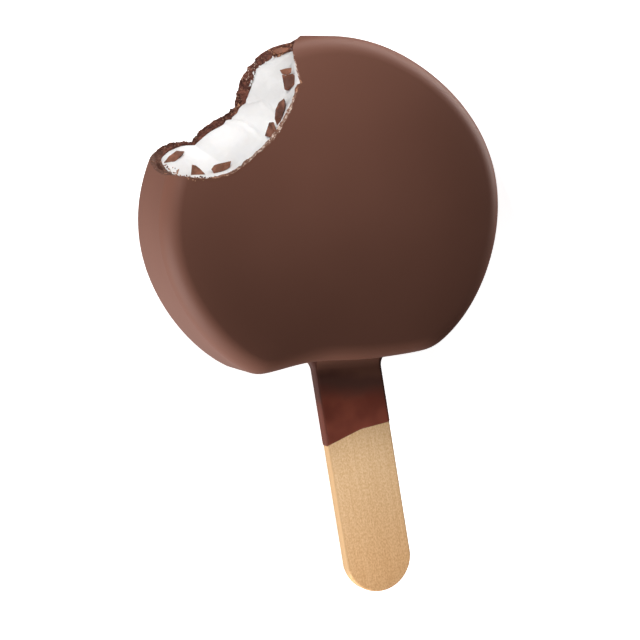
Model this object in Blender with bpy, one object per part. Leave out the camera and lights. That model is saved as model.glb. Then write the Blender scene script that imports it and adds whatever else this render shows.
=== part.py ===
"""A chocolate-coated ice cream bar on a flat wooden stick, with one bite gone from a corner.

The bar lies on its back: its flat back face is z = 0, its front face looks up, and the
stick points towards -Y.  The origin is the centre of the disc on the back face.  Metres.
"""
from math import cos, exp, hypot, pi, radians, remainder, sin, tan

import bmesh
import bpy
from mathutils import Vector

MM = 0.001

# ---- the disc --------------------------------------------------------------------------
HALF_WIDTH = 38.2 * MM         # centre to either side
HALF_HEIGHT = 36.7 * MM        # centre to the round top
WAVES = {3: 0.0112, 4: 0.001, 5: 0.0063, 6: -0.0033}   # how far the edge is out of round
FLAT_BELOW = 32.0 * MM         # centre to the flat bottom that the stick comes out of
FLAT_TILT = radians(3.2)       # the flat bottom is not quite square to the stick
FLAT_BLEND = 60                # higher makes tighter corners beside the flat bottom
DENT_DEPTH = 1.6 * MM          # the flat bottom is hollow to the left of the stick
DENT_BEARING = radians(199)
DENT_SPREAD = radians(18)
THICKNESS = 21.0 * MM
EDGE_ROUNDING = 3.8 * MM

# ---- the chocolate coating, thinnest on the front ----------------------------------------
WALL_COAT = 2.2 * MM
FRONT_COAT = 1.2 * MM
BACK_COAT = 1.8 * MM
GAP = 0.3 * MM                 # left between pieces that touch

# ---- the stick ---------------------------------------------------------------------------
STICK_WIDTH = 15.0 * MM
STICK_THICKNESS = 2.8 * MM
STICK_EDGE = 0.5 * MM
STICK_LENGTH = 94.0 * MM
STICK_TIP = -83.2 * MM         # the free end's Y
STICK_OFFSET = 0.1 * MM        # the stick sits this far right of the centre
COLLAR_TOP = -31.3 * MM        # where the flat bottom meets the middle of the stick
COLLAR_TILT = radians(8)       # the flat bottom beside the stick, against square
COLLAR_LENGTH = 1.9 * MM       # chocolate that runs from the flat bottom onto the stick
COLLAR_FLARE = 1.6 * MM
COLLAR_RIM = 0.4 * MM

# ---- the bite ----------------------------------------------------------------------------
# Corner points of the bitten edge, left to top: x, y and how far the stretch after the
# point bows into the bar, all in mm.  The edge is given on the front face, where the ice
# cream meets the back coating, and on the back face, which broke off further out.
BITE_FRONT = [
    (-46.0, 17.5, 0.0),
    (-31.0, 13.8, 0.9),
    (-20.6, 13.3, 0.1),
    (-12.6, 17.5, 0.3),
    (-7.6, 22.5, 0.2),
    (-3.9, 28.6, -0.2),
    (-4.3, 36.0, 0.0),
    (-3.5, 46.0, 0.0),
]
BITE_CREAM = [
    (-46.0, 17.5, 0.0),
    (-31.2, 17.5, -0.6),
    (-22.4, 18.5, -0.1),
    (-17.2, 21.0, 0.2),
    (-11.2, 23.5, 0.4),
    (-6.0, 31.5, -0.5),
    (3.5, 34.4, 0.0),
    (12.0, 46.0, 0.0),
]
BITE_BACK = [
    (-46.0, 17.5, 0.0),
    (-31.4, 18.7, -0.5),
    (-22.2, 18.6, -0.3),
    (-17.0, 22.0, 0.3),
    (-11.2, 24.3, -0.6),
    (-6.5, 32.4, -1.2),
    (3.2, 36.8, 0.0),
    (12.0, 46.0, 0.0),
]
SCOOP_DEPTH = 1.8 * MM         # how far the teeth hollowed the middle of the bite
SCOOP_LEAST = 0.3              # share of that depth which is left on a ridge
SCOOP_RIDGES = (-0.9, 3.8, 6.6)  # ridges, counted in corner points along the bite
SCOOP_DIRECTION = Vector((0.66, -0.75, 0.0))

# ---- chocolate chunks in the bite --------------------------------------------------------
# Each: centre of the broken face, the way it faces, and its corners across and up, in mm.
CHUNKS = {
    "chunk_right": ((-3.3, 29.3, 14.1), (-0.75, 0.35, 0.56),
                    [(-2.4, 2.0), (0.6, 2.4), (2.2, -0.1), (1.5, -1.3), (-0.3, -2.6), (-1.1, -2.4)]),
    "chunk_tall": ((-7.6, 22.9, 16.0), (-0.67, 0.44, 0.60),
                   [(1.2, 3.0), (1.3, 0.4), (0.6, -2.6), (-0.1, -3.0), (-0.8, -1.2), (-0.8, 0.8)]),
    "chunk_corner": ((-10.5, 19.7, 17.4), (-0.62, 0.50, 0.61),
                     [(-0.5, 1.7), (0.7, 1.7), (1.6, -1.1), (0.5, -1.9), (-1.3, -1.2)]),
    "chunk_front": ((-21.2, 13.9, 13.7), (-0.25, 0.69, 0.68),
                    [(-2.3, -0.3), (-0.3, 0.9), (2.1, 0.9), (1.7, -0.3), (0.7, -1.2), (-1.8, -1.7)]),
    "chunk_left": ((-26.3, 13.7, 12.4), (-0.12, 0.69, 0.71),
                   [(-0.6, 2.1), (0.7, 0.7), (1.5, -1.4), (-0.3, -1.8), (-1.7, -1.1)]),
    "chunk_back": ((-27.6, 16.9, 3.9), (-0.20, 0.65, 0.74),
                   [(-2.8, -1.2), (0.4, 1.3), (2.1, 0.7), (0.6, -0.5), (-0.6, -1.7)]),
    "chunk_top": ((0.2, 33.8, 3.4), (-0.50, 0.80, 0.33),
                  [(-2.0, -0.1), (-0.5, 0.5), (1.3, 0.4), (1.9, -0.3), (0.9, -0.9), (-0.9, -1.1)]),
}
CHUNK_DEPTH = 2.2 * MM
CHUNK_TAPER = 0.75             # the buried end against the broken face

# ---- fineness of the faceted solids ------------------------------------------------------
OUTLINE_STEPS = 96
NUDGE = 0.01                   # a small turn, to find which way the edge runs
FLAT_REACH = 0.2               # the flat bottom matters only where it faces this squarely
EDGE_STEPS = 4
BITE_STEPS = 4                 # between two corner points of the bite
BITE_LEVELS = 6
TIP_STEPS = 14


def clear_scene():
    for obj in list(bpy.data.objects):
        bpy.data.objects.remove(obj)


def make_material(name, colour, roughness, metallic=0.0):
    material = bpy.data.materials.new(name)
    material.use_nodes = True
    shader = material.node_tree.nodes["Principled BSDF"]
    shader.inputs["Base Color"].default_value = (*colour, 1.0)
    shader.inputs["Roughness"].default_value = roughness
    shader.inputs["Metallic"].default_value = metallic
    return material


def add_object(name, bm, material=None):
    bmesh.ops.recalc_face_normals(bm, faces=bm.faces)
    mesh = bpy.data.meshes.new(name)
    bm.to_mesh(mesh)
    bm.free()
    obj = bpy.data.objects.new(name, mesh)
    bpy.context.scene.collection.objects.link(obj)
    if material:
        mesh.materials.append(material)
    return obj


def stack_of_rings(rings):
    """A closed body: equal rings of points, joined in order and closed at both ends."""
    bm = bmesh.new()
    loops = [[bm.verts.new(point) for point in ring] for ring in rings]
    for lower, upper in zip(loops, loops[1:]):
        for i, vert in enumerate(lower):
            j = (i + 1) % len(lower)
            bm.faces.new((vert, lower[j], upper[j], upper[i]))
    bm.faces.new(reversed(loops[0]))
    bm.faces.new(loops[-1])
    return bm


def make_cutter(name, bm):
    cutter = add_object(name, bm)
    cutter.hide_render = True
    cutter.display_type = "WIRE"
    return cutter


def combine(obj, cutter, operation="DIFFERENCE"):
    modifier = obj.modifiers.new(cutter.name, "BOOLEAN")
    modifier.operation = operation
    modifier.object = cutter


# ---- the disc's outline ------------------------------------------------------------------
def edge_radius(bearing):
    """How far the disc reaches at a bearing, which is counted clockwise from the top.

    An oval is put slightly out of round by slow waves and blended into a flat bottom.
    """
    oval = 1 / hypot(sin(bearing) / HALF_WIDTH, cos(bearing) / HALF_HEIGHT)
    oval *= 1 + sum(height * cos(count * bearing) for count, height in WAVES.items())
    facing = cos(bearing - pi - FLAT_TILT)
    if facing < FLAT_REACH:
        return oval
    from_dent = remainder(bearing - DENT_BEARING, 2 * pi) / DENT_SPREAD
    flat = FLAT_BELOW / facing - DENT_DEPTH * exp(-from_dent ** 2)
    return oval * (1 + (oval / flat) ** FLAT_BLEND) ** (-1 / FLAT_BLEND)


def outline(inset):
    """The disc seen from the front, drawn in by inset all round."""
    points = []
    for step in range(OUTLINE_STEPS):
        bearing = -2 * pi * (step + 0.5) / OUTLINE_STEPS
        radius = edge_radius(bearing)
        swell = (edge_radius(bearing + NUDGE) - edge_radius(bearing - NUDGE)) / (2 * NUDGE)
        along_x = radius * cos(bearing) + swell * sin(bearing)
        along_y = swell * cos(bearing) - radius * sin(bearing)
        length = hypot(along_x, along_y)
        x = radius * sin(bearing) + inset * along_y / length
        y = radius * cos(bearing) - inset * along_x / length
        points.append((x, y))
    return points


def disc(inset, z_low, z_high, rounding):
    """A disc between two levels whose edges are rounded over."""
    turns = [i * pi / 2 / EDGE_STEPS for i in range(EDGE_STEPS + 1)]
    side = [(rounding * (1 - sin(turn)), rounding * (1 - cos(turn))) for turn in turns]
    levels = [(inset + inward, z_low + rise) for inward, rise in side]
    levels += [(inset + inward, z_high - rise) for inward, rise in reversed(side)]
    return stack_of_rings([[(x, y, z) for x, y in outline(inward)] for inward, z in levels])


# ---- the bite ----------------------------------------------------------------------------
def along(corners, place):
    """The point at a place on a chain of bowed stretches."""
    index = min(int(place), len(corners) - 2)
    share = place - index
    x0, y0, bow = corners[index]
    x1, y1, _ = corners[index + 1]
    length = hypot(x1 - x0, y1 - y0)
    reach = 4 * share * (1 - share) * bow / length
    x = x0 + (x1 - x0) * share + (y1 - y0) * reach
    y = y0 + (y1 - y0) * share - (x1 - x0) * reach
    return Vector((x, y, 0.0)) * MM


def scoop(place):
    """How deep the teeth went at a place along the bite: least on a ridge."""
    first, middle, last = SCOOP_RIDGES
    start, end = (first, middle) if place < middle else (middle, last)
    share = min(max((place - start) / (end - start), 0.0), 1.0)
    return SCOOP_DEPTH * (SCOOP_LEAST + (1 - SCOOP_LEAST) * sin(pi * share))


def bite_point(place, z):
    """The bitten surface at a place along the bite and a height above the back face."""
    above_coat = (z - BACK_COAT) / (THICKNESS - BACK_COAT)
    if above_coat >= 0:
        rise = min(above_coat, 1.0)
        point = along(BITE_CREAM, place).lerp(along(BITE_FRONT, place), rise)
        point += SCOOP_DIRECTION * scoop(place) * 4 * rise * (1 - rise)
    else:
        point = along(BITE_BACK, place).lerp(along(BITE_CREAM, place), max(z / BACK_COAT, 0.0))
    point.z = z
    return point


def bite_ring(z):
    steps = BITE_STEPS * (len(BITE_FRONT) - 1)
    ring = [bite_point(step / BITE_STEPS, z) for step in range(steps + 1)]
    first, last = ring[0], ring[-1]
    ring.append(Vector((first.x, last.y, first.z)))
    return ring


def bite():
    over = 2.0 * MM
    through_cream = THICKNESS - BACK_COAT
    heights = [-over, 0.0]
    heights += [BACK_COAT + through_cream * i / BITE_LEVELS for i in range(BITE_LEVELS + 1)]
    heights += [THICKNESS + over]
    return stack_of_rings([bite_ring(z) for z in heights])


# ---- the stick ---------------------------------------------------------------------------
def stick_outline(grow):
    """The flat stick seen from the front: straight sides and two round ends."""
    radius = STICK_WIDTH / 2
    low = STICK_TIP + radius
    high = STICK_TIP + STICK_LENGTH - radius
    points = []
    for centre, start in ((high, 0.0), (low, pi)):
        for step in range(TIP_STEPS + 1):
            angle = start + pi * step / TIP_STEPS
            x = STICK_OFFSET + (radius + grow) * cos(angle)
            points.append((x, centre + (radius + grow) * sin(angle)))
    return points


def stick_solid(grow):
    half = STICK_THICKNESS / 2 + grow
    middle = THICKNESS / 2
    return stack_of_rings([[(x, y, middle + z) for x, y in stick_outline(grow)]
                           for z in (-half, half)])


def collar():
    """Chocolate that thins out in a hollow curve from the flat bottom onto the stick."""
    turns = [i * pi / 2 / EDGE_STEPS for i in range(EDGE_STEPS + 1)]
    sections = [(COLLAR_TOP + WALL_COAT, COLLAR_FLARE)]
    sections += [(COLLAR_TOP - COLLAR_LENGTH * (1 - cos(turn)), COLLAR_FLARE * (1 - sin(turn)))
                 for turn in turns]
    half_width = STICK_WIDTH / 2 + GAP
    half_height = STICK_THICKNESS / 2 + GAP
    rings = []
    for y, flare in sections:
        reach = flare + COLLAR_RIM
        ring = []
        for corner_x, corner_z, start in ((1, 1, 0), (-1, 1, 1), (-1, -1, 2), (1, -1, 3)):
            for step in range(EDGE_STEPS + 1):
                angle = (start + step / EDGE_STEPS) * pi / 2
                x = corner_x * half_width + reach * cos(angle)
                z = corner_z * half_height + reach * sin(angle)
                ring.append((STICK_OFFSET + x, y - x * tan(COLLAR_TILT), THICKNESS / 2 + z))
        rings.append(ring)
    return stack_of_rings(rings)


# ---- the chunks --------------------------------------------------------------------------
def chunk_rings(shape, grow, rise, depth, taper):
    """Two outlines of a chunk: above its broken face, and down in the ice cream."""
    centre, facing, corners = shape
    out = Vector(facing).normalized()
    up = (Vector((0, 1, 0)) - out * out.y).normalized()
    across = up.cross(out)
    middle_x = sum(x for x, y in corners) / len(corners)
    middle_y = sum(y for x, y in corners) / len(corners)
    rings = []
    for height, size in ((-depth, taper), (rise, 1.0)):
        ring = []
        for x, y in corners:
            spread = size + grow / (hypot(x - middle_x, y - middle_y) * MM)
            flat = across * (middle_x + (x - middle_x) * spread)
            flat += up * (middle_y + (y - middle_y) * spread)
            ring.append((Vector(centre) + flat) * MM + out * height)
        rings.append(ring)
    return rings


def pocket(shape):
    """The hollow that a chunk sits in, open towards the bite."""
    open_above = 3.0 * MM
    return stack_of_rings(chunk_rings(shape, 2 * GAP, open_above, CHUNK_DEPTH + GAP, 1.0))


def build():
    clear_scene()
    milk_chocolate = make_material("milk_chocolate", (0.155, 0.070, 0.046), 0.35)
    chunk_chocolate = make_material("chunk_chocolate", (0.235, 0.110, 0.070), 0.45)
    vanilla = make_material("vanilla_ice_cream", (0.90, 0.88, 0.86), 0.55)
    birch = make_material("birch_wood", (0.70, 0.46, 0.24), 0.65)

    core_inset = WALL_COAT + GAP
    core_low = BACK_COAT + GAP
    core_high = THICKNESS - FRONT_COAT - GAP
    core_rounding = EDGE_ROUNDING - FRONT_COAT

    bite_cutter = make_cutter("cutter_bite", bite())
    slot_cutter = make_cutter("cutter_slot", stick_solid(GAP))
    pockets = [make_cutter("cutter_" + name, pocket(shape)) for name, shape in CHUNKS.items()]
    hollow = make_cutter("cutter_hollow", disc(
        WALL_COAT, BACK_COAT, THICKNESS - FRONT_COAT, core_rounding))
    core_limit = make_cutter("cutter_core_limit", disc(
        core_inset, core_low, core_high, core_rounding))
    collar_body = make_cutter("cutter_collar", collar())

    coating = add_object("coating", disc(0.0, 0.0, THICKNESS, EDGE_ROUNDING), milk_chocolate)
    combine(coating, collar_body, "UNION")
    for cutter in (hollow, bite_cutter, slot_cutter):
        combine(coating, cutter)

    ice_cream = add_object("ice_cream", disc(core_inset, core_low, core_high, core_rounding), vanilla)
    for cutter in (bite_cutter, slot_cutter, *pockets):
        combine(ice_cream, cutter)

    for name, shape in CHUNKS.items():
        rings = chunk_rings(shape, 0.0, 0.0, CHUNK_DEPTH, CHUNK_TAPER)
        chunk = add_object(name, stack_of_rings(rings), chunk_chocolate)
        combine(chunk, core_limit, "INTERSECT")

    stick = add_object("stick", stick_solid(0.0), birch)
    rounding = stick.modifiers.new("rounded_edges", "BEVEL")
    rounding.width = STICK_EDGE
    rounding.segments = 2
    rounding.limit_method = "ANGLE"


build()
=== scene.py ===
"""Looks of a chocolate-coated ice cream bar on a wooden stick, with one bite gone.

The bar lies on its back on a pale floor: its back face is z = 0, its front face looks up,
and the stick points towards -Y.  The bar's thickness and the stick come from the solids of
the frame.  The outline, the coats and the bite repeat the values that the solids were made
from.  The chunks stand within 3 mm of theirs.  Metres, except where it says mm.
"""
import random
from math import atan2, cos, exp, hypot, pi, radians, remainder, sin, tan

import bpy
import numpy as np
from mathutils import Euler, Matrix, Vector, noise


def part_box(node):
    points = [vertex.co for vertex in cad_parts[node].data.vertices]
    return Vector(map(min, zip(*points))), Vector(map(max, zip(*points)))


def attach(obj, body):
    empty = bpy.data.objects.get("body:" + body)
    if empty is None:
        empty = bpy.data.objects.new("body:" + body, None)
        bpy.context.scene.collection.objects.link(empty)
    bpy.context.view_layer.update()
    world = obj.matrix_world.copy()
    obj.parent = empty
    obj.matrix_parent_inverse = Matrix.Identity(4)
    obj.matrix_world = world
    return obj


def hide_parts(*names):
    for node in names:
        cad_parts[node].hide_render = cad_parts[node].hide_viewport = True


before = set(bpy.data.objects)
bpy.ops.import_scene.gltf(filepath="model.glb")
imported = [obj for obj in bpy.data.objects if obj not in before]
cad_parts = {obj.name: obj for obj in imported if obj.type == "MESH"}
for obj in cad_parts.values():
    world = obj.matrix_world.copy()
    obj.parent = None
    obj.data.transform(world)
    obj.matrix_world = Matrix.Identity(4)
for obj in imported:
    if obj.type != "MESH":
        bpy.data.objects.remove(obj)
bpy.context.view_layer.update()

MM = 0.001

# ---- sizes read from the frame -----------------------------------------------------------
THICKNESS = Vector(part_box("coating")[1]).z
stick_low, stick_high = (Vector(corner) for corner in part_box("stick"))
STICK_X = (stick_low.x + stick_high.x) / 2
STICK_Z = (stick_low.z + stick_high.z) / 2
STICK_WIDTH = stick_high.x - stick_low.x
STICK_THICKNESS = stick_high.z - stick_low.z

# ---- the disc ----------------------------------------------------------------------------
HALF_WIDTH = 38.2 * MM         # centre to either side
HALF_HEIGHT = 36.7 * MM        # centre to the round top
WAVES = {3: 0.0112, 4: 0.001, 5: 0.0063, 6: -0.0033}   # how far the edge is out of round
FLAT_BELOW = 32.0 * MM         # centre to the flat bottom that the stick comes out of
FLAT_TILT = radians(3.2)       # the flat bottom is not quite square to the stick
FLAT_BLEND = 60                # higher makes tighter corners beside the flat bottom
FLAT_REACH = 0.2               # the flat bottom matters only where it faces this squarely
DENT_DEPTH = 1.6 * MM          # the flat bottom is hollow to the left of the stick
DENT_BEARING = radians(199)
DENT_SPREAD = radians(18)
EDGE_ROUNDING = 3.8 * MM
FRONT_DOME = 1.1 * MM          # scale of the front's fall, which is 0.8 mm at most
FRONT_DOME_WIDTH = 10.0 * MM   # the fall starts this far inside the rounded edge
CENTRE = 0.01 * MM             # nearer than this to the centre, a point stays in place
OUTLINE_REACH = 0.6            # share of the half width from which the outline is fully drawn
OUTLINE_STEPS = 256
EDGE_STEPS = 12
MIDDLE_LEFT = 0.3              # what the rings leave of a flat face, in widths of a ring
LEVEL = 0.9                    # how squarely a face must look up or down to be a flat side

# ---- the chocolate coating, thinnest on the front ----------------------------------------
WALL_COAT = 2.2 * MM
FRONT_COAT = 1.2 * MM
BACK_COAT = 1.8 * MM
TOUCH = 0.05 * MM              # the ice cream reaches this far into the coat

# ---- the stick ---------------------------------------------------------------------------
STICK_EDGE = 0.45 * MM
WELD = 0.001 * MM              # points closer than this are one point

# ---- the bite ----------------------------------------------------------------------------
# Corner points of the bitten edge, left to top: x, y and how far the stretch after the
# point bows into the bar, all in mm.  A place along the bite is counted in these points.
BITE_FRONT = [
    (-46.0, 17.5, 0.0),
    (-31.0, 13.8, 0.9),
    (-20.6, 13.3, 0.1),
    (-12.6, 17.5, 0.3),
    (-7.6, 22.5, 0.2),
    (-3.9, 28.6, -0.2),
    (-4.3, 36.0, 0.0),
    (-3.5, 46.0, 0.0),
]
BITE_CREAM = [
    (-46.0, 17.5, 0.0),
    (-31.2, 17.5, -0.6),
    (-22.4, 18.5, -0.1),
    (-17.2, 21.0, 0.2),
    (-11.2, 23.5, 0.4),
    (-6.0, 31.5, -0.5),
    (3.5, 34.4, 0.0),
    (12.0, 46.0, 0.0),
]
BITE_BACK = [
    (-46.0, 17.5, 0.0),
    (-31.4, 18.7, -0.5),
    (-22.2, 18.6, -0.3),
    (-17.0, 22.0, 0.3),
    (-11.2, 24.3, -0.6),
    (-6.5, 32.4, -1.2),
    (3.2, 36.8, 0.0),
    (12.0, 46.0, 0.0),
]
SCOOP_DEPTH = 1.8 * MM         # how far the teeth hollowed the middle of the bite
SCOOP_LEAST = 0.3              # share of that depth which is left on a ridge
SCOOP_RIDGES = (-0.9, 3.8, 6.6)
SCOOP_DIRECTION = Vector((0.66, -0.75, 0.0))
INWARD_FIRST, INWARD_SWING = -88, 80     # degrees: the way into the bar, and how it swings
INWARD_FROM, INWARD_OVER = 1.2, 4.2      # the place where it starts to swing, and for how long
BITE_PLACES = (0.45, 6.75)     # the first and the last
BITE_GRID = (300, 96)          # along the bite, and through the thickness
BITE_MARGIN = 1.5 * MM         # the cutting block reaches this far past either face
BITE_AWAY = (-30 * MM, 34 * MM, 0)       # from the bitten surface to outside the disc

# ---- the broken coat: a pair is the middle and the spread of where a feature is ----------
COAT_LIP = 0.32 * MM           # how far the broken coat stands out of the plain bitten surface
COAT_LIP_FALL = 1.4 * MM       # fully from this far below the front face, and not at that face
CRACK_DEPTH = 1.0 * MM
CRACK_FROM_EDGE = (1.35 * MM, 0.25 * MM)
CRACK_HEIGHT = (6.5 * MM, 3.5 * MM)
CRACK_LAST = 2                 # only the left end of the coat is cracked, up to this place
STEP_DEPTH = 0.55 * MM         # the top of the coat broke off further in
STEP_PLACE, STEP_RUN = 4.96, 0.06        # the place where the step starts, and its length
STEP_FADE = (5.0, 0.7)

# ---- the bitten ice cream ----------------------------------------------------------------
# The teeth left two soft ridges that fan out from the notch in the back: place, and height
# in mm.
RIDGES = [
    [(3.57, 1.8), (3.59, 4.6), (3.55, 7.5), (3.39, 11.0), (3.25, 13.8), (3.1, 17.0)],
    [(4.19, 2.6), (4.27, 4.0), (4.34, 5.9), (4.21, 9.8), (3.96, 14.6), (3.8, 18.0)],
]
RIDGE_END = 17 * MM            # the height where a ridge ends
RIDGE_FADE = 6 * MM            # it fades over this much below its end
# Each pair from here is a middle and a spread; the first two are sideways from a ridge's line.
CREASE = (0.25 * MM, 0.35 * MM)
SWELL = (-0.9 * MM, 0.9 * MM)
PLACE_LENGTH = 7.5 * MM        # about one step between the bite's corner points at the ridges
TORN_PLACE, TORN_HEIGHT = (5.35, 0.5), (2 * MM, 1.5 * MM)
CREVICE_DEPTH = 2.2 * MM       # beside the chunk at the top
CREVICE_PLACE, CREVICE_HEIGHT = (6.0, 0.16), (3 * MM, 9 * MM)
CREAM_SUNK = 0.15 * MM         # how far the ice cream lies behind the plain bitten surface

# ---- chocolate chunks in the bite --------------------------------------------------------
# Each: the node it stands in for, the middle of its broken face, the way that faces, and
# the corners of the face across and up, all in mm.
CHUNKS = {
    "right_upper": (
        "chunk_right", (-3.2, 31.1, 12.2), (-0.43, 0.25, 0.87),
        [(-1.3, 0.2), (0.0, 0.3), (1.3, 0.4), (1.6, -0.7), (0.1, -1.1), (-1.0, -0.6)]),
    "right_lower": (
        "chunk_right", (-4.2, 29.2, 15.6), (-0.45, 0.23, 0.86),
        [(-1.3, 1.4), (-0.4, 1.0), (0.9, 1.3), (2.1, 0.1), (1.3, -1.0), (-0.5, -2.2),
         (-1.1, -1.9)]),
    "tall": (
        "chunk_tall", (-8.4, 23.3, 17.9), (-0.53, 0.2, 0.83),
        [(1.5, 2.7), (1.5, 1.5), (1.2, 0.3), (0.5, -1.3), (0.0, -2.5), (-0.7, -2.8),
         (-1.0, -1.4), (-0.7, 0.5), (0.3, 2.0)]),
    "corner": (
        "chunk_corner", (-11.2, 20.2, 19.0), (-0.44, 0.29, 0.85),
        [(-0.1, 1.5), (0.9, 1.4), (1.3, -1.2), (0.1, -1.8), (-1.4, -1.2)]),
    "front": (
        "chunk_front", (-22.0, 14.5, 15.4), (-0.28, 0.38, 0.88),
        [(-2.1, -0.5), (-1.4, 0.2), (-0.1, 0.5), (2.3, 0.5), (1.9, -0.5), (0.9, -1.2),
         (-1.7, -1.6)]),
    "left": (
        "chunk_left", (-27.0, 14.5, 14.4), (-0.28, 0.38, 0.88),
        [(-0.8, 1.3), (0.0, 0.9), (0.7, 0.2), (1.7, -1.5), (-0.1, -1.9), (-1.5, -1.3)]),
    "back": (
        "chunk_back", (-28.3, 17.3, 5.3), (-0.28, 0.38, 0.88),
        [(-2.5, -1.1), (-1.0, 0.1), (0.6, 1.1), (2.3, 0.6), (0.9, -0.5), (-0.3, -1.5)]),
    "top": (
        "chunk_top", (0.1, 34.8, 2.6), (-0.38, 0.39, 0.84),
        [(-2.0, 0.0), (-0.4, 0.4), (1.3, 0.3), (1.7, -0.2), (0.7, -0.7), (-1.0, -0.9)]),
}
CHUNK_DEPTH = 2.4 * MM
CHUNK_TAPER = 0.8              # the buried end against the broken face
CHUNK_EDGE = 0.11 * MM
FACET_LIFT, FACET_TURN = 0.28, 2.4       # corners stand out by turns, in mm and radians

# ---- the chocolate on the stick ----------------------------------------------------------
COLLAR_TOP = -31.3 * MM        # where the flat bottom meets the middle of the stick
COLLAR_TILT = radians(8)       # the flat bottom beside the stick, against square
COLLAR_LENGTH = 2.8 * MM
COLLAR_FLARE = 2.2 * MM
COLLAR_ROWS = 0.4              # share of the film's rows that the collar takes
FILM = 0.12 * MM
FILM_END = [(-8.0, -49.9), (-7.0, -49.5), (0.75, -47.6), (6.7, -47.4), (8.0, -47.3)]  # x, y, mm
FILM_GRID = (96, 60)           # around the stick, and down it
LAST_ROW = 0.999
SQUARE = 1.6                   # how early the walk round the stick turns its corners

# ---- crumbs ------------------------------------------------------------------------------
CRUMB_KINDS = 5
CRUMB_RADIUS = (0.65, 1.25)    # a crumb's corners, against its size
CRUMB_WIDTH = (0.5, 0.9)
CRUMB_HEIGHT = (0.35, 0.75)
BACK_BAND = (0.0, BACK_COAT)
FRONT_BAND = (20.2 * MM, 21.0 * MM)


# ---- modelling by operators --------------------------------------------------------------
def take(obj):
    """Select one object alone and make it active."""
    bpy.ops.object.select_all(action="DESELECT")
    obj.select_set(True)
    bpy.context.view_layer.objects.active = obj


def name_it(name):
    """Name the object just made, and apply its place, turn and size to its mesh."""
    obj = bpy.context.object
    obj.name = name
    obj.data.name = name
    take(obj)
    bpy.ops.object.transform_apply(location=True, rotation=True, scale=True)
    return obj


def edit(obj):
    take(obj)
    bpy.ops.object.mode_set(mode="EDIT")
    bpy.ops.mesh.select_mode(type="FACE")
    bpy.ops.mesh.select_all(action="DESELECT")


def done():
    bpy.ops.object.mode_set(mode="OBJECT")


def pick(obj, kind, test):
    """Select the faces or vertices that pass a test, and stay in edit mode."""
    bpy.ops.object.mode_set(mode="OBJECT")
    mesh = obj.data
    for part in (mesh.vertices, mesh.edges, mesh.polygons):
        part.foreach_set("select", [False] * len(part))
    for part in mesh.vertices if kind == "VERT" else mesh.polygons:
        part.select = test(part)
    bpy.ops.object.mode_set(mode="EDIT")
    bpy.ops.mesh.select_mode(type=kind)


def flat_side(face):
    return abs(face.normal.z) > LEVEL


def turn_out():
    """Turn every face of the mesh in edit mode outwards, and leave all selected."""
    bpy.ops.mesh.select_all(action="SELECT")
    bpy.ops.mesh.normals_make_consistent(inside=False)


def cut(obj, tool):
    """Take a tool's shape away from an object, with the tool's material on the cut."""
    take(obj)
    modifier = obj.modifiers.new("boolean", "BOOLEAN")
    modifier.operation = "DIFFERENCE"
    modifier.object = tool
    modifier.solver = "EXACT"
    modifier.material_mode = "TRANSFER"
    bpy.ops.object.modifier_apply(modifier=modifier.name)


def discard(*objects):
    for obj in objects:
        bpy.data.objects.remove(obj)


def smooth(obj, angle):
    take(obj)
    bpy.ops.object.shade_smooth_by_angle(angle=radians(angle))


def finish_piece(obj, slot, *nodes):
    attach(obj, "root")
    if nodes:
        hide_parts(*nodes)


def clamp(value, low=0.0, high=1.0):
    return min(max(value, low), high)


# ---- the disc's outline ------------------------------------------------------------------
def edge_radius(bearing):
    """How far the disc reaches at a bearing, which is counted clockwise from the top."""
    oval = 1 / hypot(sin(bearing) / HALF_WIDTH, cos(bearing) / HALF_HEIGHT)
    oval *= 1 + sum(height * cos(count * bearing) for count, height in WAVES.items())
    facing = cos(bearing - pi - FLAT_TILT)
    if facing < FLAT_REACH:
        return oval
    from_dent = remainder(bearing - DENT_BEARING, 2 * pi) / DENT_SPREAD
    flat = FLAT_BELOW / facing - DENT_DEPTH * exp(-from_dent ** 2)
    return oval * (1 + (oval / flat) ** FLAT_BLEND) ** (-1 / FLAT_BLEND)


def to_outline(obj):
    """Draw a round disc to the bar's real outline, keeping the width of its rounded edge."""
    for vert in obj.data.vertices:
        radius = hypot(vert.co.x, vert.co.y)
        if radius < CENTRE:
            continue
        wanted = edge_radius(atan2(vert.co.x, vert.co.y))
        share = min(radius / (OUTLINE_REACH * HALF_WIDTH), 1.0)
        share = share * share * (3 - 2 * share)
        scale = 1 + (wanted - HALF_WIDTH) * share / radius
        vert.co.x *= scale
        vert.co.y *= scale


def disc(name, inset, low, high, rounding, rings):
    """A disc with rounded edges between two levels, drawn in by inset all round.

    Rings of faces cross its flat sides, so that they can be shaped.
    """
    bpy.ops.object.select_all(action="DESELECT")
    bpy.ops.mesh.primitive_cylinder_add(
        vertices=OUTLINE_STEPS, radius=HALF_WIDTH - inset, depth=high - low,
        location=(0, 0, (low + high) / 2))
    obj = name_it(name)
    pick(obj, "FACE", flat_side)
    bpy.ops.mesh.bevel(offset=rounding, segments=EDGE_STEPS, profile=0.5, affect="EDGES",
                       offset_type="OFFSET")
    for _ in range(rings):
        pick(obj, "FACE", lambda face: len(face.vertices) > 4)
        bpy.ops.mesh.inset(thickness=(HALF_WIDTH - inset - rounding) / (rings + MIDDLE_LEFT),
                           use_even_offset=True, use_individual=True)
    done()
    return obj


def dome_front(obj):
    """Let the front face fall away softly towards the rounded edge."""
    inner = HALF_WIDTH - EDGE_ROUNDING - FRONT_DOME_WIDTH
    middle = THICKNESS / 2
    for vert in obj.data.vertices:
        radius = hypot(vert.co.x, vert.co.y)
        share = clamp((radius - inner) / (FRONT_DOME_WIDTH + EDGE_ROUNDING))
        side = (vert.co.z - middle) / middle
        if side > 0:
            vert.co.z -= FRONT_DOME * share ** 3 * side


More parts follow.
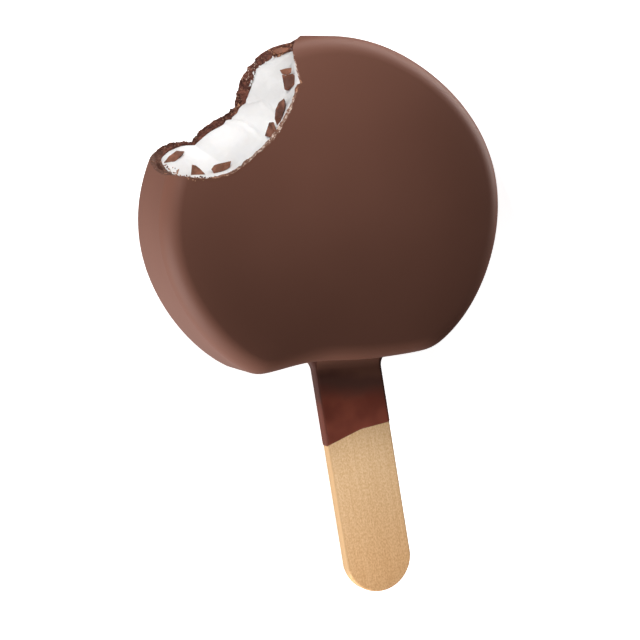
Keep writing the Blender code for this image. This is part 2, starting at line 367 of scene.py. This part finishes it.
# ---- the bite ----------------------------------------------------------------------------
def along(corners, place):
    """The point at a place on a chain of bowed stretches."""
    index = clamp(int(place), 0, len(corners) - 2)
    share = place - index
    x0, y0, bow = corners[index]
    x1, y1, _ = corners[index + 1]
    length = hypot(x1 - x0, y1 - y0)
    reach = 4 * share * (1 - share) * bow / length
    x = x0 + (x1 - x0) * share + (y1 - y0) * reach
    y = y0 + (y1 - y0) * share - (x1 - x0) * reach
    return Vector((x, y, 0.0)) * MM


def scoop(place):
    """How deep the teeth hollowed the bite at a place along it."""
    first, middle, last = SCOOP_RIDGES
    start, end = (first, middle) if place < middle else (middle, last)
    share = clamp((place - start) / (end - start))
    return SCOOP_DEPTH * (SCOOP_LEAST + (1 - SCOOP_LEAST) * sin(pi * share))


def bite_point(place, z):
    """The bitten surface at a place along the bite and a height above the back face."""
    above_coat = (z - BACK_COAT) / (THICKNESS - BACK_COAT)
    if above_coat >= 0:
        rise = min(above_coat, 1.0)
        point = along(BITE_CREAM, place).lerp(along(BITE_FRONT, place), rise)
        point += SCOOP_DIRECTION * scoop(place) * 4 * rise * (1 - rise)
    else:
        point = along(BITE_BACK, place).lerp(along(BITE_CREAM, place), max(z / BACK_COAT, 0.0))
    point.z = z
    return point


def inward(place):
    """The direction into the bar at a place along the bite."""
    turn = radians(INWARD_FIRST + INWARD_SWING * clamp((place - INWARD_FROM) / INWARD_OVER))
    return Vector((cos(turn), sin(turn), 0.0))


def bite_tool(name, relief, material):
    """A block whose inner side is the bitten surface, shaped finely by a relief."""
    count_along, count_up = BITE_GRID
    bpy.ops.object.select_all(action="DESELECT")
    bpy.ops.mesh.primitive_grid_add(x_subdivisions=count_along, y_subdivisions=count_up, size=1)
    obj = name_it(name)
    first, last = BITE_PLACES
    for vert in obj.data.vertices:
        place = first + (last - first) * (vert.co.x + 0.5)
        z = -BITE_MARGIN + (THICKNESS + 2 * BITE_MARGIN) * (vert.co.y + 0.5)
        point = bite_point(place, clamp(z, 0.0, THICKNESS))
        point.z = z
        vert.co = point + inward(place) * relief(place, z, point)
    edit(obj)
    bpy.ops.mesh.select_all(action="SELECT")
    bpy.ops.mesh.extrude_region_move(TRANSFORM_OT_translate={"value": BITE_AWAY})
    turn_out()
    done()
    obj.data.materials.append(material)
    return obj


def wobble(point, size, seed):
    """Smooth noise between about -1 and 1, with features of a size."""
    return noise.noise(point / size + Vector((seed, 2.7 * seed, -seed)))


def near(value, middle, spread):
    """1 at the middle, falling softly to 0 a few spreads away."""
    return exp(-((value - middle) / spread) ** 2)


def from_edge(point):
    """How deep a point is inside the disc's outline."""
    return edge_radius(atan2(point.x, point.y)) - hypot(point.x, point.y)


def under_skin(point):
    """How deep a point is inside the disc's rounded side, at the point's own height."""
    short = max(EDGE_ROUNDING - min(point.z, THICKNESS - point.z), 0.0)
    return from_edge(point) - EDGE_ROUNDING + (EDGE_ROUNDING ** 2 - short ** 2) ** 0.5


def coat_relief(place, z, point):
    """Broken chocolate: small sharp steps that stand out a little, except at the front face.

    A relief says how far the bitten surface goes into the bar beyond its plain shape.
    """
    chips = wobble(point, 1.3 * MM, 3.1) * 0.28 * MM
    grains = wobble(point, 0.5 * MM, 8.4) * 0.16 * MM
    lip = clamp((THICKNESS - z) / COAT_LIP_FALL) * COAT_LIP
    crack = CRACK_DEPTH * near(from_edge(point), *CRACK_FROM_EDGE) * near(z, *CRACK_HEIGHT)
    if place > CRACK_LAST:
        crack = 0.0
    step = STEP_DEPTH * clamp((place - STEP_PLACE) / STEP_RUN) * near(place, *STEP_FADE)
    return chips + grains + crack + step - lip


def ridge(place, z, line):
    """A tooth ridge along a line: a crease with a low swell beside it, fading at the front."""
    heights = [height * MM for _, height in line]
    places = [spot for spot, _ in line]
    sideways = (place - float(np.interp(z, heights, places))) * PLACE_LENGTH
    fade = clamp((RIDGE_END - z) / RIDGE_FADE)
    crease = near(sideways, *CREASE) * 0.30 * MM
    swell = near(sideways, *SWELL) * 0.40 * MM
    return (crease - swell) * fade


def cream_relief(place, z, point):
    """Bitten ice cream: smooth scoops with ridges and a faint grain."""
    soft = wobble(point, 4.0 * MM, 1.3) * 0.28 * MM
    lump = wobble(point, 1.6 * MM, 7.7) * 0.08 * MM
    grain = wobble(point, 0.7 * MM, 5.2) * 0.05 * MM
    torn = wobble(point, 0.8 * MM, 9.1) * 0.35 * MM * near(place, *TORN_PLACE) * near(z, *TORN_HEIGHT)
    ridges = sum(ridge(place, z, line) for line in RIDGES)
    crevice = CREVICE_DEPTH * near(place, *CREVICE_PLACE) * near(z, *CREVICE_HEIGHT)
    return soft + lump + grain + torn + ridges + crevice + CREAM_SUNK


# ---- materials ---------------------------------------------------------------------------
class Value:
    """A number that varies over a surface; sums and products on it add Math nodes."""

    def __init__(self, nodes, socket):
        self.nodes = nodes
        self.socket = socket

    def join(self, operation, first, second):
        return self.nodes.node("Math", {"operation": operation}, {0: first, 1: second})

    def __add__(self, other):
        return self.join("ADD", self, other)

    def __radd__(self, other):
        return self.join("ADD", other, self)

    def __sub__(self, other):
        return self.join("SUBTRACT", self, other)

    def __rsub__(self, other):
        return self.join("SUBTRACT", other, self)

    def __mul__(self, other):
        return self.join("MULTIPLY", self, other)

    def __rmul__(self, other):
        return self.join("MULTIPLY", other, self)

    def __pow__(self, other):
        return self.join("POWER", self, other)


class Nodes:
    """The nodes of a material or of the world."""

    def __init__(self, owner):
        owner.use_nodes = True
        self.tree = owner.node_tree

    def node(self, kind, settings=None, inputs=None, output=0):
        """Add a node: its settings first, then the values or links of its sockets."""
        made = self.tree.nodes.new("ShaderNode" + kind)
        for setting, value in (settings or {}).items():
            setattr(made, setting, value)
        for socket, value in (inputs or {}).items():
            self.feed(made.inputs[socket], value)
        return Value(self, made.outputs[output])

    def feed(self, socket, value):
        if isinstance(value, Value):
            self.tree.links.new(value.socket, socket)
        else:
            socket.default_value = value

    def between(self, value, low, high):
        """Stretch a value so that low gives 0 and high gives 1."""
        return self.node("MapRange", {"interpolation_type": "SMOOTHSTEP"}, {
            "Value": value, "From Min": low, "From Max": high})


class Finish(Nodes):
    """One material, built round a Principled shader."""

    def __init__(self, name, **constants):
        self.material = bpy.data.materials.new(name)
        super().__init__(self.material)
        self.shader = self.tree.nodes["Principled BSDF"]
        for socket, value in constants.items():
            self.shader.inputs[socket.replace("_", " ")].default_value = value
        self.place = self.node("TexCoord", output="Object")

    def vary(self, socket, value):
        """Feed one socket of the shader with a value that varies."""
        self.feed(self.shader.inputs[socket], value)

    def along(self, axis):
        """The place along the X, Y or Z axis, in metres."""
        return self.node("SeparateXYZ", inputs={0: self.place}, output="XYZ".index(axis))

    def grain(self, scale, detail=2.0, roughness=0.5, stretch=(1, 1, 1)):
        place = self.node("Mapping", inputs={"Vector": self.place, "Scale": stretch})
        return self.node("TexNoise", inputs={
            "Vector": place, "Scale": scale, "Detail": detail, "Roughness": roughness})

    def mix(self, share, first, second):
        """A colour between two; sockets 6, 7 and output 2 are the Mix node's colours."""
        first, second = (
            (*colour, 1.0) if isinstance(colour, tuple) else colour for colour in (first, second))
        return self.node("Mix", {"data_type": "RGBA"}, {
            "Factor": share, 6: first, 7: second}, output=2)

    def bump(self, height, distance, strength):
        self.vary("Normal", self.node("Bump", inputs={
            "Height": height, "Distance": distance, "Strength": strength}))


def milk_chocolate():
    finish = Finish("milk_chocolate", Specular_IOR_Level=0.16)
    cloud = finish.grain(25.0, 2.0)
    finish.vary("Base Color", finish.mix(
        finish.between(cloud, 0.35, 0.65), (0.166, 0.071, 0.049), (0.181, 0.078, 0.054)))
    finish.vary("Roughness", 0.45 + 0.06 * finish.grain(60.0, 3.0))
    finish.bump(finish.grain(90.0, 2.0), 0.06 * MM, 0.35)
    return finish.material


def broken_chocolate():
    """Dark where the coat broke, from painted shade, and matt, with paler specks that are painted
    highlights; the thin front lip is pale.
    """
    finish = Finish("broken_chocolate", Specular_IOR_Level=0.2)
    patch = finish.grain(900.0, 4.0, 0.6)
    fleck = finish.grain(2200.0, 2.0, 0.6)
    # Painted shade: patches darker than the coat's own brown stand in for the shade on the broken face.
    middle = finish.mix(
        finish.between(patch, 0.40, 0.66), (0.060, 0.019, 0.013), (0.165, 0.058, 0.038))
    left_end = finish.between(finish.along("X"), -28.5 * MM, -32.0 * MM)
    middle = finish.mix(left_end * 0.6, middle, (0.17, 0.085, 0.062))
    # Painted highlights: paler specks.
    dark = finish.mix(finish.between(fleck, 0.60, 0.72), middle, (0.30, 0.16, 0.11))
    front = finish.between(finish.along("Z"), 19.0 * MM, 20.2 * MM)
    finish.vary("Base Color", finish.mix(front, dark, lip_colours(finish)))
    finish.vary("Roughness", 0.62 + 0.2 * patch)
    finish.bump(finish.grain(1500.0, 4.0, 0.65), 0.2 * MM, 0.8)
    return finish.material


LIP_CHUNK = Vector((-4.3, 28.4, 20.5)) * MM    # the right chunk reaches the front coat here


def lip_colours(finish):
    """The front lip: brown and crumbly at the left end, smeared with cream further on."""
    patch = finish.grain(1300.0, 3.0, 0.6)
    smeared = finish.between(finish.along("X"), -27.0 * MM, -14.0 * MM)
    brown = finish.mix(finish.between(patch, 0.42, 0.62), (0.12, 0.045, 0.028), (0.40, 0.20, 0.12))
    pink = finish.mix(finish.between(patch, 0.44, 0.64), (0.20, 0.095, 0.062), (0.66, 0.52, 0.44))
    from_chunk = finish.node("VectorMath", {"operation": "DISTANCE"}, {
        0: finish.place, 1: LIP_CHUNK}, output="Value")
    lip = finish.mix(smeared, brown, pink)
    return finish.mix(finish.between(from_chunk, 2.0 * MM, 1.4 * MM), lip, brown)


def crumb_colours(finish):
    patch = finish.grain(700.0, 2.0)
    return finish.mix(finish.between(patch, 0.38, 0.60), (0.10, 0.036, 0.022), (0.42, 0.21, 0.12))


def crumbly(name, colours):
    """Crumbs of chocolate, in the colours that a function gives a finish."""
    finish = Finish(name, Specular_IOR_Level=0.3)
    finish.vary("Base Color", colours(finish))
    finish.vary("Roughness", 0.5 + 0.2 * finish.grain(700.0, 2.0))
    return finish.material


def chunk_chocolate():
    """Milk chocolate, paler at the left end of the bite and darker at its right end."""
    finish = Finish("chunk_chocolate", Specular_IOR_Level=0.2)
    patch = finish.between(finish.grain(420.0, 3.0), 0.40, 0.60)
    top = finish.between(finish.along("Y"), 29.5 * MM, 31.2 * MM)
    right = finish.between(finish.along("X"), -18.0 * MM, -13.0 * MM) * (1.0 - top)
    finish.vary("Base Color", finish.mix(
        right, finish.mix(patch, (0.185, 0.073, 0.042), (0.295, 0.121, 0.073)),
        finish.mix(patch, (0.095, 0.035, 0.022), (0.200, 0.080, 0.050))))
    finish.vary("Roughness", 0.5 + 0.15 * patch)
    finish.bump(finish.grain(1200.0, 4.0, 0.6), 0.1 * MM, 0.6)
    return finish.material


def vanilla():
    """White, with painted shade: a little darker where the bite is high and at its left end."""
    finish = Finish("vanilla_ice_cream", Roughness=0.5, Specular_IOR_Level=0.35,
                    Subsurface_Weight=0.25, Subsurface_Radius=(1.0, 0.9, 0.8),
                    Subsurface_Scale=2 * MM)
    high = finish.between(finish.along("Y"), 20.0 * MM, 27.0 * MM)
    left = finish.between(finish.along("X"), -23.0 * MM, -27.0 * MM)
    # Painted shade: darker where the bite is high and at its left end; the grain adds a random tone.
    shade = 0.88 - 0.25 * high - 0.08 * left + 0.10 * finish.grain(260.0, 3.0)
    finish.vary("Base Color", finish.mix(shade, (0.0, 0.0, 0.0), (1.0, 0.98, 0.97)))
    finish.bump(finish.grain(1100.0, 4.0, 0.65), 0.2 * MM, 0.6)
    return finish.material


def painted_shade_side(finish):
    """Where painted shade goes: one on the stick's two narrow sides, nought on its flat faces."""
    from_middle = finish.node("Math", {"operation": "ABSOLUTE"}, {0: finish.along("X") - STICK_X})
    return finish.between(from_middle, STICK_WIDTH / 2 - 0.6 * MM, STICK_WIDTH / 2 - 0.2 * MM)


def birch():
    """Fine grain along the stick, warmer towards its free end, with painted shade on its narrow sides."""
    finish = Finish("birch_wood", Specular_IOR_Level=0.25)
    line = finish.grain(1500.0, 3.0, 0.6, (1.0, 0.03, 1.0))
    fleck = finish.grain(3200.0, 2.0, 0.6, (1.0, 0.6, 1.0))
    share = finish.between(line * 0.22 + fleck * 0.78, 0.30, 0.70)
    warm = finish.between(finish.along("Y"), -50.0 * MM, -85.0 * MM)
    pale = finish.mix(share, (0.66, 0.395, 0.185), (0.84, 0.590, 0.350))
    deep = finish.mix(share, (0.58, 0.300, 0.120), (0.77, 0.475, 0.240))
    flat = finish.mix(warm, pale, deep)
    # Painted shade on the stick's narrow sides.
    finish.vary("Base Color", finish.mix(painted_shade_side(finish), flat, (0.50, 0.31, 0.155)))
    finish.vary("Roughness", 0.62 + 0.12 * fleck)
    finish.bump(line + fleck, 0.08 * MM, 0.5)
    return finish.material


def thin_chocolate():
    """Brown where it leaves the disc, then dark with the disc's painted shadow, and reddish where the film
    is thinnest; painted shade darkens its narrow sides.
    """
    finish = Finish("thin_chocolate", Specular_IOR_Level=0.08)
    cloud = finish.grain(160.0, 2.0)
    down = finish.along("Y") + 0.25 * finish.along("X") + 4 * MM * cloud
    red = finish.mix(finish.between(cloud, 0.35, 0.65), (0.165, 0.041, 0.026), (0.225, 0.058, 0.036))
    # Painted shadow: the dark band below the brown collar stands in for the disc's shadow on the stick.
    dark = finish.mix(finish.between(down, -39.5 * MM, -35.0 * MM), red, (0.095, 0.041, 0.031))
    flat = finish.mix(finish.between(down, -34.5 * MM, -32.0 * MM), dark, (0.150, 0.066, 0.046))
    # Painted shade on the narrow sides, darkest near the disc.
    low, high = (0.120, 0.032, 0.020), (0.060, 0.021, 0.015)
    side = finish.mix(finish.between(down, -43.0 * MM, -37.0 * MM), low, high)
    finish.vary("Base Color", finish.mix(painted_shade_side(finish), flat, side))
    finish.vary("Roughness", 0.42 + 0.08 * cloud)
    return finish.material


MILK = milk_chocolate()
BROKEN = broken_chocolate()
CRUMB = crumbly("crumb_chocolate", crumb_colours)
LIP = crumbly("lip_chocolate", lip_colours)
CHUNK = chunk_chocolate()
VANILLA = vanilla()
BIRCH = birch()
THIN = thin_chocolate()


# ---- the pieces --------------------------------------------------------------------------
def build_stick(name):
    """A flat stick: a round end is drawn out to full length, thickened and softened."""
    radius = STICK_WIDTH / 2
    middle = stick_low.y + radius
    straight = stick_high.y - stick_low.y - 2 * radius
    bpy.ops.object.select_all(action="DESELECT")
    bpy.ops.mesh.primitive_circle_add(vertices=64, radius=radius, fill_type="NGON",
                                      location=(STICK_X, middle, stick_low.z))
    obj = name_it(name)
    pick(obj, "VERT", lambda vert: vert.co.y > middle - WELD)
    bpy.ops.transform.translate(value=(0, straight, 0))
    bpy.ops.mesh.select_mode(type="FACE")
    bpy.ops.mesh.select_all(action="SELECT")
    bpy.ops.mesh.extrude_region_move(TRANSFORM_OT_translate={"value": (0, 0, STICK_THICKNESS)})
    turn_out()
    pick(obj, "FACE", flat_side)
    bpy.ops.mesh.bevel(offset=STICK_EDGE, segments=4, profile=0.5, affect="EDGES")
    done()
    return obj


def stick():
    obj = build_stick("wooden_stick")
    obj.data.materials.append(BIRCH)
    smooth(obj, 50)
    finish_piece(obj, "birch_wood", "stick")


def coating(bite):
    """The chocolate shell, hollowed for the ice cream and cut by the bite and the stick."""
    shell = disc("chocolate_coating", 0.0, 0.0, THICKNESS, EDGE_ROUNDING, rings=8)
    dome_front(shell)
    to_outline(shell)
    shell.data.materials.append(MILK)
    hollow = disc("hollow", WALL_COAT, BACK_COAT, THICKNESS - FRONT_COAT,
                  EDGE_ROUNDING - FRONT_COAT, rings=2)
    to_outline(hollow)
    hollow.data.materials.append(BROKEN)
    slot = build_stick("slot")
    slot.data.materials.append(MILK)
    cut(shell, hollow)
    cut(shell, bite)
    cut(shell, slot)
    discard(hollow, slot)
    smooth(shell, 40)
    finish_piece(shell, "milk_chocolate", "coating")


def ice_cream(bite):
    """The ice cream that fills the coating, cut by the bite and the stick."""
    core = disc("ice_cream_filling", WALL_COAT - TOUCH, BACK_COAT - TOUCH,
                THICKNESS - FRONT_COAT + TOUCH, EDGE_ROUNDING - FRONT_COAT, rings=2)
    to_outline(core)
    core.data.materials.append(VANILLA)
    slot = build_stick("cream_slot")
    slot.data.materials.append(VANILLA)
    cut(core, bite)
    cut(core, slot)
    discard(slot)
    smooth(core, 60)
    finish_piece(core, "vanilla_ice_cream", "ice_cream")


def chunk_piece(name, node, centre, facing, corners):
    """A broken lump: its face is drawn corner by corner, then sunk into the ice cream."""
    out = Vector(facing).normalized()
    up = (Vector((0, 1, 0)) - out * out.y).normalized()
    across = up.cross(out)
    bpy.ops.object.select_all(action="DESELECT")
    bpy.ops.mesh.primitive_circle_add(vertices=len(corners), radius=MM, fill_type="NGON")
    obj = name_it("chunk_" + name)
    for index, (x, y) in enumerate(corners):
        lift = FACET_LIFT * sin(FACET_TURN * index)
        obj.data.vertices[index].co = (Vector(centre) + across * x + up * y + out * lift) * MM
    edit(obj)
    bpy.ops.mesh.select_all(action="SELECT")
    bpy.ops.mesh.extrude_region_move(TRANSFORM_OT_translate={"value": -out * CHUNK_DEPTH})
    bpy.ops.transform.resize(value=(CHUNK_TAPER,) * 3)
    turn_out()
    bpy.ops.mesh.bevel(offset=CHUNK_EDGE, segments=2, profile=0.6, affect="EDGES")
    bpy.ops.mesh.select_all(action="SELECT")
    bpy.ops.mesh.quads_convert_to_tris()
    bpy.ops.mesh.subdivide(number_cuts=4)
    done()
    for vert in obj.data.vertices:
        vert.co += out * wobble(vert.co, 1.4 * MM, 6.6) * 0.24 * MM
        vert.co += out * wobble(vert.co, 0.5 * MM, 2.6) * 0.09 * MM
    obj.data.materials.append(CHUNK)
    smooth(obj, 16)
    finish_piece(obj, "chunk_chocolate", node)


def film_end(x):
    """How far down the stick the film reaches at an x."""
    xs, ys = zip(*FILM_END)
    return float(np.interp(x / MM, xs, ys)) * MM


def stick_film():
    """The dipped part of the stick: a thin coat that flares out into the disc's bottom."""
    around, down = FILM_GRID
    bpy.ops.object.select_all(action="DESELECT")
    bpy.ops.mesh.primitive_grid_add(x_subdivisions=around, y_subdivisions=down, size=1)
    obj = name_it("dipped_stick")
    half_width = STICK_WIDTH / 2
    half_height = STICK_THICKNESS / 2
    for vert in obj.data.vertices:
        turn = 2 * pi * (vert.co.x + 0.5)
        fall = 1 - (vert.co.y + 0.5)
        side_x, side_z = cos(turn), sin(turn)
        share = min(fall / COLLAR_ROWS, 1.0)
        flare = COLLAR_FLARE * (1 - sin(share * pi / 2))
        drop = COLLAR_LENGTH * (1 - cos(share * pi / 2))
        # Straight sides joined by round corners, walked round at an even pace.
        reach = STICK_EDGE + FILM + flare
        if fall > LAST_ROW:
            reach = STICK_EDGE - FILM           # the last row dips into the wood
        square_x = clamp(side_x * SQUARE, -1.0)
        square_z = clamp(side_z * SQUARE, -1.0)
        x = square_x * (half_width - STICK_EDGE)
        z = square_z * (half_height - STICK_EDGE)
        on_side = abs(square_x) == 1
        on_face = abs(square_z) == 1
        out = Vector((side_x if on_side else 0.0, 0, side_z if on_face else 0.0))
        if on_side and on_face:
            out = Vector((abs(side_x) - 1 / SQUARE, 0, abs(side_z) - 1 / SQUARE))
            out = Vector((out.x * square_x, 0, out.z * square_z))
        out.normalize()
        x += out.x * reach
        z += out.z * reach
        top = COLLAR_TOP - x * tan(COLLAR_TILT)
        y = top - drop
        if fall > COLLAR_ROWS:
            y += (film_end(x + STICK_X) - y) * (fall - COLLAR_ROWS) / (1 - COLLAR_ROWS)
        vert.co = Vector((x + STICK_X, y, z + STICK_Z))
    edit(obj)
    bpy.ops.mesh.select_all(action="SELECT")
    bpy.ops.mesh.remove_doubles(threshold=WELD)
    bpy.ops.mesh.select_all(action="DESELECT")
    bpy.ops.mesh.select_mode(type="EDGE")
    bpy.ops.mesh.select_non_manifold()
    bpy.ops.mesh.fill_holes(sides=0)
    turn_out()
    done()
    obj.data.materials.append(THIN)
    smooth(obj, 40)
    finish_piece(obj, "milk_chocolate")


def crumb(name, rng):
    """One broken bit: a ball of few faces, pushed out of round."""
    bpy.ops.object.select_all(action="DESELECT")
    bpy.ops.mesh.primitive_ico_sphere_add(subdivisions=1, radius=1.0)
    bit = name_it(name)
    for vert in bit.data.vertices:
        vert.co *= rng.uniform(*CRUMB_RADIUS)
    return bit


def crumbs(name, count, places, heights, sizes, material, relief, seed, lift=0.3):
    """Small broken bits of one kind, strewn over a stretch of the bitten surface.

    Each sits in the surface or out of it by up to lift times its size.
    """
    rng = random.Random(seed)
    kinds = [crumb(name + "_bit", rng) for _ in range(CRUMB_KINDS)]
    copies = []
    for _ in range(count):
        place = rng.uniform(*places)
        z = rng.uniform(*heights)
        size = rng.uniform(*sizes)
        foot = bite_point(place, z)
        point = foot + inward(place) * (relief(place, z, foot) - rng.uniform(-lift, lift) * size)
        reach = CRUMB_RADIUS[1] * size
        point.z = clamp(point.z, reach, THICKNESS - reach)
        shape = Vector((1.0, rng.uniform(*CRUMB_WIDTH), rng.uniform(*CRUMB_HEIGHT))) * size
        turn = Euler([rng.uniform(0, 2 * pi) for _ in range(3)])
        kind = rng.choice(kinds)
        if under_skin(point) < size:
            continue
        copy = kind.copy()
        copy.data = copy.data.copy()
        copy.matrix_world = Matrix.LocRotScale(point, turn, shape)
        bpy.context.scene.collection.objects.link(copy)
        copies.append(copy)
    discard(*kinds)
    bpy.ops.object.select_all(action="DESELECT")
    for copy in copies:
        copy.select_set(True)
    bpy.context.view_layer.objects.active = copies[0]
    bpy.ops.object.join()
    heap = name_it(name)
    heap.data.materials.append(material)
    finish_piece(heap, "chunk_chocolate")


coat_tool = bite_tool("coat_bite", coat_relief, BROKEN)
cream_tool = bite_tool("cream_bite", cream_relief, VANILLA)
coating(coat_tool)
ice_cream(cream_tool)
discard(coat_tool, cream_tool)
stick()
stick_film()
for name, (node, centre, facing, corners) in CHUNKS.items():
    chunk_piece(name, node, centre, facing, corners)

crumbs("dark_crumbs", 520, (0.7, 6.1), BACK_BAND, (0.12 * MM, 0.34 * MM), BROKEN, coat_relief, 11)
crumbs("brown_crumbs", 160, (0.7, 6.1), BACK_BAND, (0.08 * MM, 0.20 * MM), CRUMB, coat_relief, 12, 0.8)
crumbs("notch_crumbs", 45, (3.6, 4.3), BACK_BAND, (0.14 * MM, 0.34 * MM), CRUMB, coat_relief, 13, 1.2)
crumbs("upper_crumbs", 40, (4.7, 5.1), BACK_BAND, (0.14 * MM, 0.32 * MM), LIP, coat_relief, 14, 1.0)
crumbs("cream_flakes", 45, (4.6, 6.1), (1.75 * MM, 2.05 * MM), (0.14 * MM, 0.36 * MM), VANILLA,
       coat_relief, 20, 0.6)
crumbs("top_crumbs", 55, (5.5, 6.05), (0.0, 2.6 * MM), (0.20 * MM, 0.50 * MM), CRUMB, coat_relief, 15)
crumbs("lip_crumbs", 150, (1.0, 5.9), FRONT_BAND, (0.05 * MM, 0.13 * MM), LIP, coat_relief, 16, 1.5)
crumbs("left_lip_crumbs", 90, (0.75, 1.9), FRONT_BAND, (0.08 * MM, 0.26 * MM), CRUMB, coat_relief, 17, 2.0)
crumbs("left_wall_crumbs", 110, (0.6, 1.0), (2.0 * MM, 20.0 * MM), (0.10 * MM, 0.34 * MM), CRUMB,
       coat_relief, 18)
crumbs("corner_crumbs", 26, (3.0, 3.6), (18.6 * MM, 20.8 * MM), (0.08 * MM, 0.24 * MM), CRUMB,
       cream_relief, 19, 0.8)

# ---- the studio --------------------------------------------------------------------------
# The camera looks down on the bar: turned about its stick, tipped to its top, then rolled.
YAW, PITCH, ROLL = radians(20.44), radians(8.95), radians(9.22)
DISTANCE = 678.0 * MM
AIM = Vector((0.06, 22.87, 0.0)) * MM
LENS = 180.0
LIGHT_DISTANCE = 0.5

middle = Vector((0, 0, THICKNESS / 2))
turned = Matrix.Rotation(ROLL, 3, "Z") @ Matrix.Rotation(PITCH, 3, "X") @ Matrix.Rotation(YAW, 3, "Y")
view = turned.transposed()


def seen_from(x, y, z):
    """A place given right, up and towards the viewer from the disc's middle, in metres."""
    return middle + view @ Vector((x, y, z))


camera_data = bpy.data.cameras.new("camera")
camera_data.lens = LENS
camera_data.clip_end = 20.0
camera = bpy.data.objects.new("camera", camera_data)
camera.matrix_world = Matrix.Translation(middle + view @ (Vector((0, 0, DISTANCE)) - AIM)) @ view.to_4x4()
bpy.context.scene.collection.objects.link(camera)
bpy.context.scene.camera = camera


def towards(bearing, height):
    """A direction from its bearing, counted from +X towards +Y, and its height, in degrees."""
    turn, rise = radians(bearing), radians(height)
    return Vector((cos(turn) * cos(rise), sin(turn) * cos(rise), sin(rise)))


def add_light(name, kind, place, aim, power):
    data = bpy.data.lights.new(name, kind)
    data.energy = power
    obj = bpy.data.objects.new(name, data)
    obj.location = place
    obj.rotation_euler = (place - aim).to_track_quat("Z", "Y").to_euler()
    bpy.context.scene.collection.objects.link(obj)
    return data


def soft_box(name, bearing, height, power, size):
    box = add_light(name, "AREA", middle + towards(bearing, height) * LIGHT_DISTANCE, middle, power)
    box.shape = "SQUARE"
    box.size = size


def spot(name, place, aim, width, power, blend=1.0, size=0.02):
    lamp = add_light(name, "SPOT", place, aim, power)
    lamp.spot_size = radians(width)
    lamp.spot_blend = blend
    lamp.shadow_soft_size = size


soft_box("left_box", 205, 8, 3.6, 0.4)
soft_box("right_box", 10, -3, 1.8, 0.3)
soft_box("upper_right_box", 38, -1, 1.3, 0.3)
soft_box("top_box", 66, -3, 1.3, 0.3)
spot("face_spot", seen_from(-0.1, 0.2, 0.45), seen_from(-0.02, 0.03, 0.0), 16, 5.2)
spot("top_spot", seen_from(-0.1, 0.2, 0.45), seen_from(-0.005, 0.045, 0.0), 14, 3.1)
spot("bite_spot", middle + towards(135, 14) * LIGHT_DISTANCE, middle + Vector((-0.015, 0.020, 0.0)), 6, 0.85)
spot("stick_spot", seen_from(0.08, -0.16, 0.45), seen_from(0.012, -0.068, 0.0), 6.6, 5.6, 0.6, 0.01)

# Soft light comes back up from the table, to the left and below.
TABLE_GLOW = 1.3
world = bpy.data.worlds.new("studio")
bpy.context.scene.world = world
room = Nodes(world)
looking = room.node("TexCoord", output="Generated")
facing = room.node("VectorMath", {"operation": "DOT_PRODUCT"}, {
    0: looking, 1: towards(225, -35)}, output="Value")
glow = TABLE_GLOW * room.node("Math", {"operation": "MAXIMUM"}, {0: facing, 1: 0.0}) ** 3
room.feed(room.tree.nodes["Background"].inputs["Strength"], glow)
room.tree.nodes["Background"].inputs["Color"].default_value = (1, 1, 1, 1)
bpy.context.scene.view_settings.view_transform = "Standard"

bpy.ops.object.select_all(action="DESELECT")
bpy.ops.mesh.primitive_plane_add(size=6.0, location=(0, 0, 0))
floor = name_it("floor")
paper = Finish("pale_floor", Roughness=0.9, Specular_IOR_Level=0.1)
paper.shader.inputs["Base Color"].default_value = (0.9, 0.9, 0.9, 1)
paper.shader.inputs["Emission Color"].default_value = (1, 1, 1, 1)
paper.shader.inputs["Emission Strength"].default_value = 0.85
floor.data.materials.append(paper.material)
for sight in ("diffuse", "glossy", "transmission", "shadow"):
    setattr(floor, "visible_" + sight, False)
